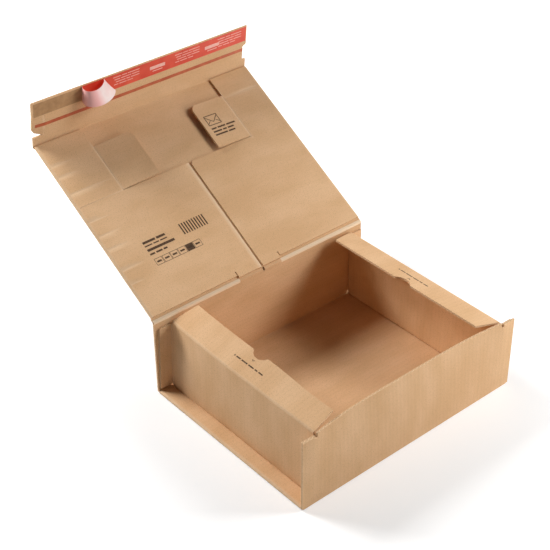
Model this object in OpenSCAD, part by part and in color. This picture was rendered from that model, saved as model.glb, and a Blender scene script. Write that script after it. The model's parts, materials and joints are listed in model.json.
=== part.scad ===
// Shipping carton, folded and glued from one sheet of corrugated board: a tray with set-in side
// walls and dust flaps, a double lid with a document pocket, and a closing flap that carries a
// tear strip, a seal strip and the seal's half-peeled release liner.
// Origin at the centre of the underside, X to the right, Y to the back, Z up, in millimetres.
// The lid and the closing flap are drawn closed, then turned about their creases as they stand.

/* [Board] */
// Thickness of the corrugated board
board_t = 2.8; // [2:0.1:3.4]
// Gap between two plies that lie flat on each other, filled by glue in places
ply_gap = 0.3; // [0.2:0.1:0.6]
// Inside radius of a square fold
fold_r = 0.5; // [0.3:0.1:1]
// Radius of the crease that a panel hinges on
crease_r = 0.8; // [0.5:0.1:1]
// Clearance in a hinged crease
crease_gap = 0.2; // [0.15:0.05:0.4]

/* [Tray] */
// Width over the ears of the front and back walls
carton_w = 363; // [320:1:420]
// Depth of the tray, over its front and back walls
carton_d = 290; // [240:1:360]
// Height of the folded dust flaps' upper face
side_h = 111; // [80:1:150]
// How far each side wall is set in from the ends of the front wall
side_inset = 21; // [16:1:30]
// How far the front wall's ears lie below its middle
ear_drop = 3; // [1:0.5:10]
// Width of the relief cut between an ear and the front wall's middle
relief_w = 4; // [2:0.5:8]
// Depth of the relief cut below the ear's edge
relief_depth = 3; // [1:0.5:8]
// Distance of a side wall's end tab from the edge of the ear it is glued to
tab_margin = 2; // [0.5:0.5:6]

/* [Dust flaps] */
// Width of a dust flap, from the outside of its side wall
dust_flap_w = 39; // [30:1:44]
// How far a dust flap's ends run in towards its free edge
dust_flap_slant = 8; // [0:1:20]
// Length of the thumb notch in a dust flap's free edge
notch_w = 30; // [20:1:40]
// Depth of the thumb notch
notch_depth = 8; // [4:0.5:10]

/* [Lid] */
// Angle from closed at which the lid stands open
lid_open = 150; // [0:1:195]
// Play between the closed lid and the dust flaps
lid_play = 0.3; // [0.2:0.1:2]
// How far the lid reaches out past the front wall
lid_over = 6; // [5:0.5:12]
// Bare strip of the lid's outer ply beside the hinge crease
hinge_strip = 6.5; // [5:0.5:14]
// Bare strip of the outer ply between the closing flap and the inner ply
front_strip = 1.5; // [1:0.5:6]
// Width of the inner ply's tongue that reaches the hinge crease
tongue_w = 72; // [30:1:120]
// Place of that tongue, left of the middle
tongue_x = -3; // [-15:1:15]
// Width of the slits at the tongue's ends
tongue_slit_w = 1.6; // [0.8:0.2:4]
// Length of the slits at the tongue's ends
tongue_slit_l = 6; // [2:1:15]
// Place of the seam between the two folded-in wings, right of the middle
seam_x = 2; // [-20:1:20]
// Width of that seam
seam_w = 2; // [1:0.5:6]
// Radius of the right wing's corner at the seam
seam_corner_r = 6; // [2:1:12]

/* [Document pocket] */
// Width of the pocket between the wings
pocket_w = 222; // [200:1:250]
// Depth of the pocket behind the closing flap's crease
pocket_depth = 111; // [90:1:150]
// Middle of the pocket, right of the carton's middle
pocket_x = 3; // [-15:1:15]
// Width of a document tab
doc_tab_w = 60; // [30:1:80]
// Depth of a document tab
doc_tab_d = 75; // [40:1:85]
// Radius of a document tab's free corner
doc_tab_r = 10; // [3:1:20]
// Width of the slit behind a document tab
doc_slit_w = 0.8; // [0.4:0.2:2]
// Angle by which the document tabs have sprung up
doc_tab_lift = 5; // [0:0.5:7]

/* [Closing flap] */
// Height of the closing flap from its crease
closing_h = 70; // [62:1:90]
// Angle between the closing flap and the lid, 90 when the carton is shut
flap_fold = 66; // [0:1:90]
// Length of the pull tab's slit at the left end
pull_slit_l = 15; // [8:1:30]
// Width of the pull tab's slit at the flap's end
pull_slit_w = 7; // [1:0.5:9]
// Distance of the pull tab's slit from the free edge
pull_slit_at = 50.5; // [46:0.5:56]
// Depth of the recess at the right end, where the tear strip leaves the board
recess_depth = 6; // [3:1:15]
// Distance of the recess from the free edge
recess_at = 31; // [28:1:34]
// Length of the recess
recess_l = 24; // [12:1:26]
// Radius of the recess's corners
recess_r = 2.5; // [1:0.5:5]

/* [Strips on the closing flap] */
// Width of the tear strip
tear_w = 4.5; // [3:0.5:7]
// Distance of the tear strip's start from the flap's left end
tear_start = 5; // [0:1:12]
// Distance of the tear strip's middle from the free edge
tear_at = 38; // [36:1:42]
// Thickness of the tear strip
tear_t = 0.25; // [0.15:0.05:0.5]
// Width of the seal strip
seal_w = 20; // [12:1:24]
// Thickness of the seal strip
seal_t = 0.2; // [0.1:0.05:0.5]
// Distance of the seal strip from the free edge and from the flap's ends
seal_margin = 3; // [2:0.5:6]
// How far the release liner is wider than the seal strip, on each side
liner_lip = 1.5; // [0.5:0.5:2]
// Thickness of the release liner
liner_t = 0.2; // [0.1:0.05:0.4]
// Length of liner that is peeled from the left end
peel_l = 79; // [60:1:120]
// Length of flap that the liner's curl spans at the free edge
curl_l_top = 35; // [25:1:45]
// Length of flap that the curl spans at its lower edge
curl_l_low = 53; // [45:1:75]
// How far the curl stands off the flap at the free edge
curl_h_top = 18; // [10:1:25]
// How far the curl stands off the flap at its lower edge
curl_h_low = 23; // [12:1:30]
// How far the curl leans to the left, for its height
curl_lean = 0.5; // [0:0.05:0.8]

/* [Glue] */
// Width of a glue line
glue_w = 10; // [6:1:14]
// Distance of a glue line's ends from the edges of the plies that it joins
glue_end = 10; // [5:1:25]
// Distance of the lid's middle glue lines from the seam
glue_from_seam = 45; // [20:1:70]

/* [Hidden] */
$fn = 64;
curl_steps = 24;
slab = 0.01;
over_cut = 1;
// Colours of the board, its glue and the strips
kraft = "#c59b6c";
kraft_inside = "#cda477";
glue_tone = "#d8cdb4";
tear_red = "#b8503a";
seal_clear = "#b98a5b";
liner_red = "#d5372c";
// Outside radius of a square fold, and of a ply turned flat onto the next one
bend_r = fold_r + board_t;
turn_r = board_t + ply_gap / 2;
// Outer faces of the side walls and the upper face of the flanges that they stand on
side_x = carton_w / 2 - side_inset;
flange_z = 2 * board_t + ply_gap;
// Length of a side wall between the folds of its end tabs
wall_l = carton_d - 2 * (board_t + ply_gap + bend_r);
flange_l = carton_d - 2 * (board_t + fold_r);
tab_low = flange_z + bend_r;
front_h = side_h;
ear_h = front_h - ear_drop;
dust_edge = side_x - dust_flap_w;
notch_r = (notch_w * notch_w / 4 + notch_depth * notch_depth) / (2 * notch_depth);
// Levels of the closed lid's two plies
lid_top = side_h + lid_play + 2 * board_t + ply_gap;
outer_low = lid_top - board_t;
inner_low = lid_top - 2 * board_t - ply_gap;
// Creases: the lid's along the back wall, the closing flap's along the lid's front edge
hinge_y = carton_d / 2 - crease_r;
hinge_z = lid_top - crease_r;
lid_front = -carton_d / 2 - lid_over;
crease_y = lid_front + crease_r;
crease_z = lid_top - crease_r;
// A hinged ply starts this far from its crease, on the outside and along the mitre inside
crease_end = 2 * crease_r;
mitre_gap = crease_gap * sqrt(2);
mitre_l = board_t - crease_r;
// Extent of the lid's inner ply
wing_front = lid_front + board_t + front_strip;
wing_rear = carton_d / 2 - hinge_strip;
tongue_rear = carton_d / 2 - board_t - 3 * crease_gap;
pocket_rear = lid_front + pocket_depth;
// Closing flap: inner face and free edge as it hangs when closed
flap_face = lid_front + board_t;
flap_low = lid_top - closing_h;
liner_w = seal_w + 2 * liner_lip;
liner_low = flap_low + seal_margin - liner_lip;
liner_face = flap_face + seal_t;
peel_x = -carton_w / 2 + peel_l;

// Profile in Y and Z, drawn out along X
module along_x(length) {
    rotate([90, 0, 90]) linear_extrude(length, center = true) children();
}

// Profile in X and Z, drawn out along Y
module along_y(length) {
    rotate([90, 0, 0]) linear_extrude(length, center = true) children();
}

// Children on the right, and again on the left
module both_sides() {
    for (m = [0, 1]) mirror([m, 0, 0]) children();
}

// Children at the front, and again at the back
module both_ends() {
    for (m = [0, 1]) mirror([0, m, 0]) children();
}

// Section of a square fold: a quarter ring round the origin
module square_fold() {
    intersection() {
        difference() {
            circle(bend_r);
            circle(fold_r);
        }
        square(bend_r);
    }
}

// Section of a ply turned flat onto the next one: a half ring round the origin, towards +X
module flat_fold() {
    intersection() {
        difference() {
            circle(turn_r);
            circle(ply_gap / 2);
        }
        translate([0, -turn_r]) square([turn_r, 2 * turn_r]);
    }
}

// Corner that is cut away to leave a round one, with its tip at the origin, towards +X and +Y
module corner_cut(r) {
    difference() {
        translate([-over_cut, -over_cut]) square(r + over_cut);
        translate([r, r]) circle(r);
    }
}

// Floor, with the folds that turn it up into the front and back walls
module floor_panel() {
    along_x(carton_w - 2 * turn_r) {
        translate([-carton_d / 2 + bend_r, 0]) square([carton_d - 2 * bend_r, board_t]);
        for (m = [0, 1]) mirror([m, 0])
            translate([carton_d / 2 - bend_r, bend_r]) mirror([0, 1]) square_fold();
    }
}

// Front wall, with ears beside the side walls
module front_wall() {
    translate([0, -carton_d / 2 + board_t, 0]) rotate([90, 0, 0]) linear_extrude(board_t)
        difference() {
            translate([-carton_w / 2, bend_r]) square([carton_w, front_h - bend_r]);
            for (m = [0, 1]) mirror([m, 0]) {
                translate([side_x, ear_h]) square([side_inset + over_cut, ear_drop + over_cut]);
                translate([side_x - relief_w / 2, ear_h - relief_depth])
                    square([relief_w, relief_depth + ear_drop + over_cut]);
            }
        }
}

// Back wall, mitred to the rounded crease that carries the lid
module back_wall() {
    along_x(carton_w) {
        polygon([[carton_d / 2 - board_t, bend_r], [carton_d / 2, bend_r], [carton_d / 2, hinge_z],
                 [hinge_y, hinge_z], [carton_d / 2 - board_t, hinge_z - mitre_l]]);
        translate([hinge_y, hinge_z]) circle(crease_r);
    }
}

// Flange: the ply that comes back over the floor from the carton's side edge
module flange() {
    along_y(flange_l) {
        translate([carton_w / 2 - turn_r, turn_r]) flat_fold();
        translate([side_x + fold_r, flange_z - board_t])
            square([side_inset - turn_r - fold_r, board_t]);
    }
}

// Side wall, with the folds at its foot and at the dust flap
module side_wall() {
    along_y(wall_l) {
        translate([side_x + fold_r, flange_z + fold_r]) rotate(180) square_fold();
        translate([side_x - board_t, flange_z + fold_r])
            square([board_t, side_h - bend_r - flange_z - fold_r]);
        translate([side_x - bend_r, side_h - bend_r]) square_fold();
    }
}

// End tab of a side wall, turned out behind an ear
module end_tab() {
    translate([0, 0, tab_low]) linear_extrude(ear_h - tab_margin - tab_low) {
        translate([side_x + fold_r, -wall_l / 2]) rotate(180) square_fold();
        translate([side_x + fold_r, -wall_l / 2 - bend_r])
            square([side_inset - tab_margin - fold_r, board_t]);
    }
}

// Dust flap with slanted ends and a thumb notch
module dust_flap() {
    translate([0, 0, side_h - board_t]) linear_extrude(board_t) difference() {
        polygon([[side_x - bend_r, -wall_l / 2], [side_x - bend_r, wall_l / 2],
                 [dust_edge, wall_l / 2 - dust_flap_slant],
                 [dust_edge, -wall_l / 2 + dust_flap_slant]]);
        translate([dust_edge + notch_depth - notch_r, 0]) circle(notch_r);
    }
}

// Tray: floor, four walls and two dust flaps, folded from the one sheet
module tray() {
    color(kraft) union() {
        floor_panel();
        front_wall();
        back_wall();
        both_sides() {
            flange();
            side_wall();
            dust_flap();
            both_ends() end_tab();
        }
    }
}

// Glue under the flanges and behind the ears
module tray_glue() {
    color(glue_tone) both_sides() {
        translate([side_x + fold_r, -wall_l / 2 + glue_end, board_t])
            cube([glue_w, wall_l - 2 * glue_end, ply_gap]);
        both_ends() translate([side_x + fold_r, -carton_d / 2 + board_t, tab_low + glue_end])
            cube([glue_w, ply_gap, ear_h - tab_margin - tab_low - 2 * glue_end]);
    }
}

// Turns the closed lid open about its crease on the back wall
module stand_open() {
    translate([0, hinge_y, hinge_z]) rotate([-lid_open, 0, 0])
        translate([0, -hinge_y, -hinge_z]) children();
}

// Outer ply of the lid, mitred at the hinge and at the closing flap's crease
module lid_outer() {
    along_x(carton_w - 2 * turn_r)
        translate([wing_front, outer_low]) square([wing_rear - wing_front, board_t]);
    along_x(carton_w) {
        polygon([[wing_rear, outer_low], [hinge_y - mitre_l - mitre_gap, outer_low],
                 [hinge_y - crease_end, hinge_z - crease_end + mitre_gap],
                 [hinge_y - crease_end, lid_top], [wing_rear, lid_top]]);
        polygon([[wing_front, outer_low], [crease_y + mitre_l, outer_low],
                 [crease_y, crease_z], [crease_y, lid_top], [wing_front, lid_top]]);
        translate([crease_y, crease_z]) circle(crease_r);
    }
}

// Folds along the lid's side edges, which turn the wings in
module wing_folds() {
    both_sides() translate([0, (wing_front + wing_rear) / 2, 0]) along_y(wing_rear - wing_front)
        translate([carton_w / 2 - turn_r, outer_low - ply_gap / 2]) flat_fold();
}

// Inner ply of the lid: two wings that meet at a seam, cut out for the document pocket
module wings() {
    translate([0, 0, inner_low]) linear_extrude(board_t) difference() {
        union() {
            translate([-carton_w / 2 + turn_r, wing_front])
                square([carton_w - 2 * turn_r, wing_rear - wing_front]);
            translate([tongue_x - tongue_w / 2, wing_rear - over_cut])
                square([tongue_w, tongue_rear - wing_rear + over_cut]);
        }
        translate([seam_x - seam_w / 2, pocket_rear - over_cut])
            square([seam_w, tongue_rear - pocket_rear + 2 * over_cut]);
        translate([seam_x + seam_w / 2, pocket_rear]) corner_cut(seam_corner_r);
        translate([pocket_x - pocket_w / 2, wing_front - over_cut])
            square([pocket_w, pocket_rear - wing_front + over_cut]);
        translate([tongue_x, 0]) for (m = [0, 1]) mirror([m, 0])
            translate([tongue_w / 2, wing_rear - tongue_slit_l])
                square([tongue_slit_w, tongue_slit_l + over_cut]);
    }
}

// Document tab on its crease at the pocket's right side, sprung up a little
module doc_tab() {
    translate([pocket_w / 2, pocket_rear - doc_slit_w - doc_tab_d, inner_low + board_t / 2])
        rotate([0, -doc_tab_lift, 0]) {
            translate([0, doc_tab_d, 0]) rotate([90, 0, 0]) cylinder(d = board_t, h = doc_tab_d);
            translate([-doc_tab_w, 0, -board_t / 2]) linear_extrude(board_t) difference() {
                square([doc_tab_w, doc_tab_d]);
                corner_cut(doc_tab_r);
            }
        }
}

// Lid: outer ply, folded-in wings and document tabs
module lid() {
    color(kraft_inside) stand_open() union() {
        lid_outer();
        wing_folds();
        wings();
        translate([pocket_x, 0, 0]) both_sides() doc_tab();
    }
}

// Glue between the lid's plies, in lines beside the folds and beside the seam
module lid_glue() {
    color(glue_tone) stand_open() for (m = [0, 1]) {
        translate([m == 0 ? -carton_w / 2 + turn_r + glue_end : carton_w / 2 - turn_r - glue_end - glue_w,
                   wing_front + glue_end, outer_low - ply_gap])
            cube([glue_w, wing_rear - wing_front - 2 * glue_end, ply_gap]);
        translate([seam_x + (m == 0 ? -glue_from_seam - glue_w : glue_from_seam),
                   pocket_rear + glue_end, outer_low - ply_gap])
            cube([glue_w, wing_rear - pocket_rear - 2 * glue_end, ply_gap]);
    }
}

// Turns the hanging closing flap to its angle on the lid, and opens it with the lid
module stand_up() {
    stand_open() translate([0, crease_y, crease_z]) rotate([flap_fold - 90, 0, 0])
        translate([0, -crease_y, -crease_z]) children();
}

// Slit that frees the pull tab, at the left end of the flap
module pull_slit() {
    polygon([[-carton_w / 2 - over_cut, flap_low + pull_slit_at - pull_slit_w / 2],
             [-carton_w / 2 - over_cut, flap_low + pull_slit_at + pull_slit_w / 2],
             [-carton_w / 2 + pull_slit_l, flap_low + pull_slit_at + pull_slit_w / 2]]);
}

// Recess with round corners, at the right end of the flap
module tear_recess() {
    low = flap_low + recess_at;
    translate([carton_w / 2 - recess_depth, low + recess_r])
        square([recess_depth + over_cut, recess_l - 2 * recess_r]);
    translate([carton_w / 2 - recess_depth + recess_r, low])
        square([recess_depth - recess_r + over_cut, recess_l]);
    for (z = [low + recess_r, low + recess_l - recess_r])
        translate([carton_w / 2 - recess_depth + recess_r, z]) circle(recess_r);
}

// Closing flap, mitred along its crease
module closing_flap() {
    color(kraft_inside) stand_up() difference() {
        along_x(carton_w)
            polygon([[lid_front, flap_low], [flap_face, flap_low],
                     [flap_face, crease_z - mitre_l - mitre_gap],
                     [crease_y + crease_end - mitre_gap, crease_z - crease_end],
                     [lid_front, crease_z - crease_end]]);
        translate([0, flap_face + over_cut, 0]) rotate([90, 0, 0])
            linear_extrude(board_t + 2 * over_cut) {
                pull_slit();
                tear_recess();
            }
    }
}

// Tear strip, from the pull tab to the recess
module tear_strip() {
    color(tear_red) stand_up()
        translate([-carton_w / 2 + tear_start, flap_face, flap_low + tear_at - tear_w / 2])
            cube([carton_w - tear_start - recess_depth, tear_t, tear_w]);
}

// Seal strip: the band of contact glue that closes the carton
module seal_strip() {
    color(seal_clear) stand_up()
        translate([-carton_w / 2 + seal_margin, flap_face, flap_low + seal_margin])
            cube([carton_w - 2 * seal_margin, seal_t, seal_w]);
}

// Half ellipse that stands off the flap, from the peel line to the right
module curl_section(length, height, wall) {
    a = length / 2 - wall;
    b = height - wall;
    polygon([for (i = [0 : curl_steps]) let (turn = 180 * i / curl_steps)
             [length / 2 - a * cos(turn) - curl_lean * b * sin(turn), b * sin(turn)]]);
}

// Body of the curl between its two edges, drawn in by the wall
module curl_body(wall) {
    hull() {
        linear_extrude(slab) curl_section(curl_l_top, curl_h_top, wall);
        translate([0, 0, liner_w - slab]) linear_extrude(slab)
            curl_section(curl_l_low, curl_h_low, wall);
    }
}

// Release liner: still stuck to the right of the peel line, curled up over itself at its left
module release_liner() {
    color(liner_red) stand_up() translate([peel_x, liner_face, liner_low]) {
        cube([carton_w / 2 - seal_margin + liner_lip - peel_x, liner_t, liner_w]);
        difference() {
            curl_body(0);
            curl_body(liner_t);
        }
    }
}

tray();
tray_glue();
lid();
lid_glue();
closing_flap();
tear_strip();
seal_strip();
release_liner();
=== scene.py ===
# %% [markdown]
# # A shipping carton, folded in Blender
# The real carton is one sheet of corrugated board that a die cuts and creases, and that is then folded and
# glued. A carton could be put together from boxes with a cardboard picture on them. Here each part is a thin
# sheet that is folded as the board is, because the folds, the double plies and the cut edges then come out
# where they are on the real thing.

# %% Load the frame
import json
import math

import bmesh
import bpy
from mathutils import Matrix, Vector

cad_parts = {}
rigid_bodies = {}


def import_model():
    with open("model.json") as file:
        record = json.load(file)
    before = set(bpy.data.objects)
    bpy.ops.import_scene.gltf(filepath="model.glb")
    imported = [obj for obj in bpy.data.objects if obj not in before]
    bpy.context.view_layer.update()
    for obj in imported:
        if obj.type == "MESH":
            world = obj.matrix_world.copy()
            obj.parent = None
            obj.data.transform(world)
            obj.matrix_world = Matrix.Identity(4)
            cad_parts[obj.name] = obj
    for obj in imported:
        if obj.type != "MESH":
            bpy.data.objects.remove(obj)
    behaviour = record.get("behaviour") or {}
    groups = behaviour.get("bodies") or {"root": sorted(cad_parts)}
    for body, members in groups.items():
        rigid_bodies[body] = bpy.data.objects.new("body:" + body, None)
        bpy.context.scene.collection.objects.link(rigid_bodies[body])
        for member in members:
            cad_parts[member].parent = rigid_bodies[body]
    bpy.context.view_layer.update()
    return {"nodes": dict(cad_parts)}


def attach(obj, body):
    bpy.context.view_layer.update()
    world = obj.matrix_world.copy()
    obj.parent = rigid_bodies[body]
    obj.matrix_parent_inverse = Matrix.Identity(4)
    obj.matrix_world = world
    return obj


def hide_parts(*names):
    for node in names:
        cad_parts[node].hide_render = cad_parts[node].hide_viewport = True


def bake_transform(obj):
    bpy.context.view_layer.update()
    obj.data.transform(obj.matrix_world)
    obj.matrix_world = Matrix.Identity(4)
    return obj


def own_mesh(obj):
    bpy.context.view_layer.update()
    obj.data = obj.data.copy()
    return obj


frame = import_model()

# %% [markdown]
# ## Camera
# The camera stands to the left of the carton's front, well above it, with a long lens. Its place was worked
# out from the carton's corners, so it is written down as numbers and needs no aiming.

# %% Place the camera
MM = 0.001
CAMERA_PLACE, CAMERA_TURN, LENS = (-948.6, -1005.5, 1159.8), (54.767, 0.411, -40.487), 88.46


def mm(*values):
    """Millimetres as metres."""
    return tuple(value * MM for value in values)


bpy.ops.object.select_all(action="DESELECT")
bpy.ops.object.camera_add(location=mm(*CAMERA_PLACE), rotation=[math.radians(a) for a in CAMERA_TURN])
camera = bpy.context.object
camera.data.lens = LENS
camera.data.sensor_width = 36
bpy.context.scene.camera = camera
print("camera", [round(c, 3) for c in camera.location], "lens", camera.data.lens)

# %% [markdown]
# ## Floor and light
# A product picture stands on white paper under soft lamps: two behind the carton at its left, which draw the
# folds, a big one at the front right, and a small low one for the near corner. They stay at a plain level, so
# that the board shows its own colour. The white comes from the paper: the floor glows a little for the camera
# alone, which lifts it to white and still lets the carton's shadow show.

# %% Node tools
def put(tree, node, sockets):
    """Sets each socket of a node to a value, or links it to another node's output."""
    for key, value in sockets.items():
        if isinstance(value, bpy.types.NodeSocket):
            tree.links.new(value, node.inputs[key])
        else:
            node.inputs[key].default_value = value


def add(tree, kind, sockets={}, **settings):
    """A shader node with its settings and its sockets."""
    node = tree.nodes.new("ShaderNode" + kind)
    for key, value in settings.items():
        setattr(node, key, value)
    put(tree, node, sockets)
    return node


def reckon(tree, operation, *values):
    """The outcome of a sum on plain values or on other nodes' outputs."""
    return add(tree, "Math", dict(enumerate(values)), operation=operation).outputs[0]


def new_material(name, roughness, specular):
    """A material with its node tree and its shader."""
    material = bpy.data.materials.new(name)
    material.use_nodes = True
    shader = material.node_tree.nodes["Principled BSDF"]
    put(material.node_tree, shader, {"Roughness": roughness, "Specular IOR Level": specular})
    return material, material.node_tree, shader


def dress(tree, shader, colour, height, strength, depth):
    """Gives a shader its colour and a relief from a height."""
    bump = add(tree, "Bump", {"Height": height, "Strength": strength, "Distance": depth})
    put(tree, shader, {"Base Color": colour, "Normal": bump.outputs[0]})


def seen_directly(tree):
    """1 for a ray that shows the background as it is, 0 for a ray that lights something."""
    path = add(tree, "LightPath")
    seen = path.outputs["Is Camera Ray"]
    for kind in ("Is Glossy Ray", "Is Transmission Ray"):
        seen = reckon(tree, "MAXIMUM", seen, path.outputs[kind])
    return seen


print("node tools ready")

# %% Lay the floor
bpy.ops.mesh.primitive_plane_add(size=12, location=mm(0, 0, -0.3))
floor = bpy.context.object
floor.name = "paper_floor"
paper, paper_tree, paper_shader = new_material("white_paper", 0.95, 0.1)
put(paper_tree, paper_shader, {"Base Color": (0.8, 0.8, 0.8, 1), "Emission Color": (1, 1, 1, 1)})
on_floor = add(paper_tree, "TexCoord").outputs["Object"]
from_carton = add(paper_tree, "VectorMath", {0: on_floor}, operation="LENGTH")


def glow_from(low, high, less, more):
    """A glow that grows from less to more between two distances from the carton, in metres."""
    far = from_carton.outputs["Value"]
    limits = {"Value": far, "From Min": low, "From Max": high, "To Min": less, "To Max": more}
    return add(paper_tree, "MapRange", limits).outputs["Result"]


whiter = reckon(paper_tree, "ADD", glow_from(0.25, 0.7, 0.34, 0.7), glow_from(0.7, 2.5, 0, 0.35))
glow = reckon(paper_tree, "MULTIPLY", seen_directly(paper_tree), whiter)
put(paper_tree, paper_shader, {"Emission Strength": glow})
floor.data.materials.append(paper)
print("floor", floor.name)

# %% Light the set
world = bpy.data.worlds.new("studio")
bpy.context.scene.world = world
world.use_nodes = True
sky = world.node_tree
light_sky = sky.nodes["Background"]
put(sky, light_sky, {"Color": (1.0, 0.985, 0.97, 1), "Strength": 0.03})
white_sky = add(sky, "Background", {"Color": (1, 1, 1, 1), "Strength": 1.0})
skies = {0: seen_directly(sky), 1: light_sky.outputs[0], 2: white_sky.outputs[0]}
sky_mix = add(sky, "MixShader", skies)
put(sky, sky.nodes["World Output"], {"Surface": sky_mix.outputs[0]})
LIT = Vector((0, 0.1, 0.12))


def soft_lamp(name, place, size, watts):
    """A square lamp at a place, turned to the carton."""
    bpy.ops.object.light_add(type="AREA", location=place)
    lamp = bpy.context.object
    lamp.name = name
    lamp.rotation_euler = (LIT - Vector(place)).to_track_quat("-Z", "Y").to_euler()
    lamp.data.size = size
    lamp.data.energy = watts
    lamp.visible_camera = False
    return lamp


lamps = [
    soft_lamp("left_lamp", (-0.9, 1.2, 1.0), 0.35, 12.5),
    soft_lamp("rear_lamp", (-0.6, 1.4, 1.6), 0.5, 24),
    soft_lamp("right_lamp", (1.6, -1.1, 1.45), 1.0, 33),
    soft_lamp("corner_lamp", (0.6, -0.6, 0.3), 0.4, 2.9),
]
bpy.context.scene.view_settings.view_transform = "Standard"
print("lamps", [(lamp.name, lamp.data.energy) for lamp in lamps])

# %% [markdown]
# ## The look of the board
# Kraft board is brown paper glued over a fluted core. Close up it has fibres and dark flecks, further off
# a soft mottle, and in slanting light the flutes show through as fine ribs, drawn as relief and as painted
# shade.
# A noise in the room's X, Y and Z would cut across the folds, so every sheet carries a UV map called blank:
# its place on the flat sheet, in metres, with the flutes along U. The wear_and_painted_light attribute marks
# the folds, where the paper is pale from stretching and a highlight is painted on the ridge. It also carries a
# painted highlight beside the lid's seam, pale paper inside the hinge that is partly a painted highlight, and
# the liner's painted red light.

# %% Colour and grain
FLUTE_PITCH = 6.4


def tone(red, green, blue):
    """A colour as a screen shows it, 0 to 255, as the linear colour that a shader takes."""
    parts = [c / 255 for c in (red, green, blue)]
    return tuple(c / 12.92 if c <= 0.04045 else ((c + 0.055) / 1.055) ** 2.4 for c in parts) + (1.0,)


def darker(colour, share):
    """A colour taken down to a share of itself."""
    return [part * share for part in colour[:3]] + [1]


def blend_colour(tree, share, first, second):
    """The first colour turning into the second by a share."""
    return add(tree, "Mix", {0: share, 6: first, 7: second}, data_type="RGBA").outputs[2]


def spread(tree, value, low, high, top=1.0):
    """A value between low and high, drawn out from 0 to top."""
    limits = {"Value": value, "From Min": low, "From Max": high, "To Max": top}
    return add(tree, "MapRange", limits, clamp=True).outputs["Result"]


def blank_place(tree):
    """The point's place on the flat blank."""
    return add(tree, "UVMap", uv_map="blank").outputs[0]


def carried(tree, name):
    """A value that the points of a sheet carry as an attribute."""
    return add(tree, "Attribute", attribute_name=name).outputs["Fac"]


def spots(tree, place, scale, detail, **settings):
    """An even noise, in spots per metre."""
    noise = {"Vector": place, "Scale": scale, "Detail": detail}
    return add(tree, "TexNoise", noise, **settings).outputs["Fac"]


def grain(tree, place, stretch, detail):
    """A flat noise with its own spots per metre along the flutes and across them."""
    drawn = add(tree, "Mapping", {"Vector": place, "Scale": (*stretch, 1)}).outputs[0]
    return spots(tree, drawn, 1.0, detail, noise_dimensions="2D")


def flute_wave(tree, place):
    """A wave across the flutes, from -1 to 1."""
    across = add(tree, "SeparateXYZ", {0: place}).outputs["Y"]
    return reckon(tree, "SINE", reckon(tree, "MULTIPLY", across, 2 * math.pi / (FLUTE_PITCH * MM)))


print("flutes", FLUTE_PITCH, "mm apart")

# %% Kraft paper
MOTTLE, STREAKS, FIBRES, FLECKS = (11, 26), (14, 150), (380, 1500), (700, 1100)
FLECK_TONE, RIB_SHADE_TONE, WORN_AND_HIGHLIGHT_TONE = tone(112, 74, 42), tone(120, 84, 50), tone(250, 226, 194)


def kraft_paper(name, pale, deep, ribs):
    """Brown paper over flutes, between two tones. Ribs says how far the flutes show through, as relief and as
    painted shade.
    """
    material, tree, shader = new_material(name, 0.82, 0.2)
    place = blank_place(tree)
    wave = flute_wave(tree, place)
    fibres = grain(tree, place, FIBRES, 2.0)
    colour = blend_colour(tree, spread(tree, grain(tree, place, MOTTLE, 3.0), 0.3, 0.7), deep, pale)
    for share, layer in (
        (spread(tree, grain(tree, place, STREAKS, 2.0), 0.4, 0.8, 0.1 * ribs), darker(deep, 0.74)),
        (spread(tree, fibres, 0.4, 0.8, 0.25), darker(deep, 0.62)),
        (spread(tree, grain(tree, place, FLECKS, 1.0), 0.66, 0.78, 0.5), FLECK_TONE),
        # painted shade along the flute ribs, where slanting light would shade them
        (spread(tree, wave, 0.2, 1.0, 0.06 * ribs), RIB_SHADE_TONE),
        # pale folds, partly worn paper and partly a painted highlight on the ridge, and the painted highlights
        # by the seam and inside the hinge
        (spread(tree, carried(tree, "wear_and_painted_light"), 0.0, 1.0, 0.85), WORN_AND_HIGHLIGHT_TONE),
    ):
        colour = blend_colour(tree, share, colour, layer)
    relief = reckon(tree, "MULTIPLY_ADD", wave, 0.4 * ribs, fibres)
    dress(tree, shader, colour, relief, 0.35, 0.0002)
    return material


PALE, DEEP = tone(232, 191, 148), tone(221, 178, 133)
kraft = kraft_paper("kraft_face", PALE, DEEP, 0.6)
smooth_kraft = kraft_paper("kraft_smooth_face", PALE, DEEP, 0.3)
print("materials", kraft.name, smooth_kraft.name)

# %% [markdown]
# ## The cut edge
# Where the die cuts across the flutes, the edge shows two liners and a wave of paper between them, with
# hollows in shade. Modelling each wave would take a great many faces on an edge under 3 mm wide. Instead the
# side attribute says how far a point lies through the board, and the wave is drawn where that meets a sine,
# with shade painted into the hollows.

# %% Cut edge of the board
FUZZ = (900, 900)
EDGE_DEEP, EDGE_PALE, HOLLOW_SHADE_TONE = tone(222, 184, 142), tone(238, 206, 168), tone(164, 124, 86)


def cut_edge(name):
    """Two liners and a fluted core, with shade painted into the hollows."""
    material, tree, shader = new_material(name, 0.9, 0.1)
    place = blank_place(tree)
    through = carried(tree, "side")
    core = reckon(tree, "MULTIPLY_ADD", flute_wave(tree, place), 0.36, 0.5)
    from_core = reckon(tree, "ABSOLUTE", reckon(tree, "SUBTRACT", through, core))
    from_middle = reckon(tree, "ABSOLUTE", reckon(tree, "SUBTRACT", through, 0.5))
    # painted shade in the hollows between the core and the liners
    hollow_shade = spread(tree, from_core, 0.14, 0.26, 0.55)
    gap = reckon(tree, "MULTIPLY", hollow_shade, spread(tree, from_middle, 0.42, 0.36))
    fuzz = spread(tree, grain(tree, place, FUZZ, 2.0), 0.3, 0.7)
    colour = blend_colour(tree, gap, blend_colour(tree, fuzz, EDGE_DEEP, EDGE_PALE), HOLLOW_SHADE_TONE)
    put(tree, shader, {"Base Color": colour})
    return material


edge = cut_edge("kraft_cut_edge")
print("material", edge.name)

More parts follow.
